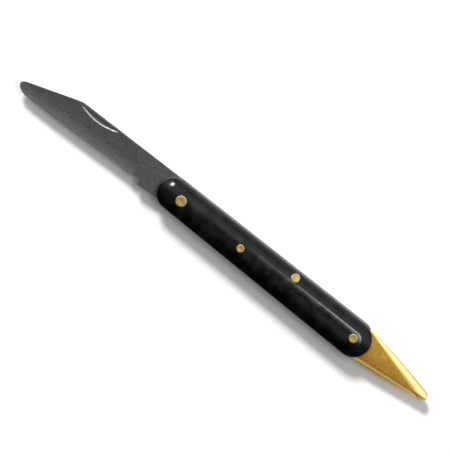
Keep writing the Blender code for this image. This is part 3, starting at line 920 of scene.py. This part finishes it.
nick_radius = (NICK_HALF**2 + NICK_WIDTH**2) / (2 * NICK_WIDTH)
bpy.ops.mesh.primitive_cylinder_add(vertices=NICK_SIDES, radius=nick_radius, depth=NICK_CUTTER)
nick = bpy.context.object
nick.location.z = NICK_CUTTER / 2
bpy.ops.object.transform_apply()
pick(nick, facing(-1))
bpy.ops.mesh.inset(thickness=NICK_RIM, depth=NICK_DEPTH)
bpy.ops.object.mode_set(mode="OBJECT")
nick_wall = (0, math.cos(NICK_WALL), -math.sin(NICK_WALL))
cut_off(nick, (0, NICK_WIDTH - nick_radius, 0), nick_wall)
nick_top = on_knife(*NICK_PLACE).to_3d() + Vector((0, 0, blade_high.z))
nick_at = ground_face.inverted() @ nick_top
nick_middle = nick_at.y - NICK_WIDTH / 2
nick_mouth = -nick_middle * (ground_width - nick_middle) / (2 * WHEEL_RADIUS)
nick_at.z = nick_mouth
nick_at.y += nick_radius - NICK_WIDTH
nick.matrix_world = ground_face @ Matrix.Translation(nick_at)
bpy.ops.object.transform_apply()
cut_by(blade, nick)
drill(blade, "pivot_pin")
break_edges(blade, BLADE_BREAK, BLADE_ANGLE)


def is_nick_rim(face):
    """Whether a face is the nick's sloped rim, which is painted bright as a highlight."""
    along = (face.center.x - PIVOT.x) / MM
    in_reach = NICK_REACH[0] < along < NICK_REACH[1]
    return in_reach and RIM_UP[0] < face.normal.z < RIM_UP[1] and face.normal.y > RIM_BACK


def is_nick_floor(face):
    """Whether a face is the nick's floor, which gets a faint painted highlight that makes it a little
    brighter than the ground face.
    """
    below = nick_mouth - (ground_face.inverted() @ face.center).z
    return face.normal.z > RIM_UP[1] and abs(below - NICK_DEPTH) < NICK_DEPTH / 4


def is_ground(face):
    """Whether a face is anything but a flat side of the tang, which the wheels don't reach."""
    return abs(face.normal.z) < TANG_LEVEL


# The nick's rim gets a full painted highlight and its floor a faint one
nick_glint_marks = blade.data.attributes["rub_and_glint"].data
for face in blade.data.polygons:
    if is_nick_rim(face):
        nick_glint_marks[face.index].value = 1.0
    elif is_nick_floor(face):
        nick_glint_marks[face.index].value = FLOOR_GLINT
mark_faces(blade, "ground", lambda face: float(is_ground(face)))

blade_steel, tree, shader = new_finish("dark_ground_steel", 1.0)
lines = add_effect(tree, ground_lines, Stretch=(4.0, 1.1, 2.0), Turn=(0.0, 0.0, 0.16), Detail=5.0)
touch = add_effect(tree, handled, Size=240.0)
rub_and_glint = add_effect(tree, rubs_and_glints, Amount=0.9, Least=0.8)
wheel_ground = new_node(tree, "ShaderNodeAttribute", attribute_name="ground")
spot = new_node(tree, "ShaderNodeTexCoord")
leaned = new_node(tree, "ShaderNodeMapping", inputs={"Rotation": (0.0, 0.0, -EDGE_TURN)})
spot_parts = new_node(tree, "ShaderNodeSeparateXYZ")
tree.links.new(spot.outputs["Object"], leaned.inputs["Vector"])
tree.links.new(leaned.outputs["Vector"], spot_parts.inputs["Vector"])
# Lighter towards the edge: partly a finer grind there, partly a painted reflection that stands in for a
# hollow grind
edge_grind_and_sheen = span(tree, spot_parts.outputs["Y"], EDGE_REACH, EDGE_SHARE)
colour = blend(tree, edge_grind_and_sheen, GROUND_BACK, GROUND_EDGE)
colour = blend(tree, wheel_ground.outputs["Fac"], TANG_GREY, colour)
colour = dimmed(tree, colour, span(tree, lines.outputs["Lines"], NOISE_CORE, BLADE_LINES))
# Rubbed edges and the nick turn pale steel: wear on the edges, painted highlight in the nick
colour = blend(tree, rub_and_glint.outputs["Mask"], colour, BLADE_WORN_GLINT)
rough = span(tree, touch.outputs["Cloud"], given=BLADE_ROUGHNESS)
tree.links.new(colour, shader.inputs["Base Color"])
tree.links.new(rough, shader.inputs["Roughness"])
grain(tree, lines.outputs["Lines"], BLADE_GRAIN, shader)
join_model(blade, "blade", "blade", blade_steel)

# Scale rivets and through pins
# Brass pins whose ends follow the scales, with a rounded rim and a middle that the hammer has dished.
# Three run through the whole handle, and a short rivet holds each scale to its liner.
PIN_SIDES = 72
PIN_RINGS = 8
PIN_RIM = 0.24 * MM
PIN_ROUND = 0.1 * MM
PIN_DISH = 0.1 * MM
PIN_FOLLOW = 0.8
PIN_EDGE = 0.999
PIN_PUNCH = 0.2
PIN_HOLLOW = 0.8
PIN_ANGLE = math.radians(50.0)
PIN_BRASS = (0.6, 0.42, 0.2, 1.0)
PIN_SHADE = (0.45, 0.28, 0.11, 1.0)
PIN_WORN_GLINT = (0.85, 0.7, 0.44, 1.0)
PIN_ROUGHNESS = (0.5, 0.62)
PIN_GRAIN = 0.01 * MM

pin_brass, tree, shader = new_finish("hammered_brass", 1.0)
touch = add_effect(tree, handled, Size=900.0)
rub_and_glint = add_effect(tree, rubs_and_glints, Amount=0.6, Least=0.4)
colour = blend(tree, span(tree, touch.outputs["Cloud"], NOISE_CORE), PIN_SHADE, PIN_BRASS)
# The rim turns pale brass: partly rubbed wear, partly a painted highlight
colour = blend(tree, rub_and_glint.outputs["Mask"], colour, PIN_WORN_GLINT)
rough = span(tree, touch.outputs["Cloud"], given=PIN_ROUGHNESS)
tree.links.new(colour, shader.inputs["Base Color"])
tree.links.new(rough, shader.inputs["Roughness"])
grain(tree, touch.outputs["Cloud"], PIN_GRAIN, shader)

lower_form = copy_of(form, "lower_form", turned_over=True)


def head_over(shaft, node, side, scale):
    """Shapes one end of a pin to the scale's surface, rounds its rim and dishes its middle."""
    low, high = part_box(node)
    end = high.z if side > 0 else low.z
    radius = pin_radius(node)
    middle = middle_of(node).to_2d()
    pick(shaft, facing(side))
    bpy.ops.mesh.inset(thickness=PIN_RIM)
    for ring in range(PIN_RINGS):
        bpy.ops.mesh.inset(thickness=(radius - PIN_RIM) / (PIN_RINGS + 0.5))
    bpy.ops.object.mode_set(mode="OBJECT")
    at_end = [vert.index for vert in shaft.data.vertices if abs(vert.co.z - end) < WELD]
    shaft.vertex_groups.new(name="head").add(at_end, PIN_FOLLOW, "REPLACE")
    apply_modifier(
        shaft,
        "SHRINKWRAP",
        target=scale,
        wrap_method="PROJECT",
        use_project_z=True,
        use_negative_direction=True,
        use_positive_direction=True,
        vertex_group="head",
    )
    shaft.vertex_groups.clear()

    def on_head(vert, nearest=0.0, farthest=math.inf):
        """Whether a point of this end lies between two shares of the radius from the axis."""
        out = (vert.co.to_2d() - middle).length / radius
        return (vert.co.z - MIDDLE) * side > liner_half and nearest <= out <= farthest

    pick(shaft, lambda vert: on_head(vert, nearest=PIN_EDGE), "VERT")
    bpy.ops.transform.translate(value=(0, 0, -side * PIN_ROUND))
    bpy.ops.object.mode_set(mode="OBJECT")
    pick(shaft, lambda vert: on_head(vert, farthest=PIN_PUNCH), "VERT")
    bpy.ops.transform.translate(
        value=(0, 0, -side * PIN_DISH),
        use_proportional_edit=True,
        proportional_edit_falloff="SMOOTH",
        proportional_size=PIN_HOLLOW * radius,
    )
    bpy.ops.object.mode_set(mode="OBJECT")


for pin in ("upper_scale_rivet", "lower_scale_rivet") + THROUGH_PINS:
    low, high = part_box(pin)
    bpy.ops.mesh.primitive_cylinder_add(
        vertices=PIN_SIDES, radius=pin_radius(pin), depth=high.z - low.z, location=middle_of(pin)
    )
    shaft = bpy.context.object
    shaft.name = pin + "_shaft"
    bpy.ops.object.transform_apply()
    if high.z > MIDDLE + liner_half:
        head_over(shaft, pin, 1, form)
    if low.z < MIDDLE - liner_half:
        head_over(shaft, pin, -1, lower_form)
    rim = pin_radius(pin) - PIN_RIM
    centre = middle_of(pin).to_2d()
    mark_faces(shaft, "rub_and_glint", lambda face: float((face.center.to_2d() - centre).length > rim))
    make_active(shaft)
    bpy.ops.object.shade_smooth_by_angle(angle=PIN_ANGLE)
    join_model(shaft, "handle", pin, pin_brass)

bpy.data.objects.remove(form)
bpy.data.objects.remove(lower_form)
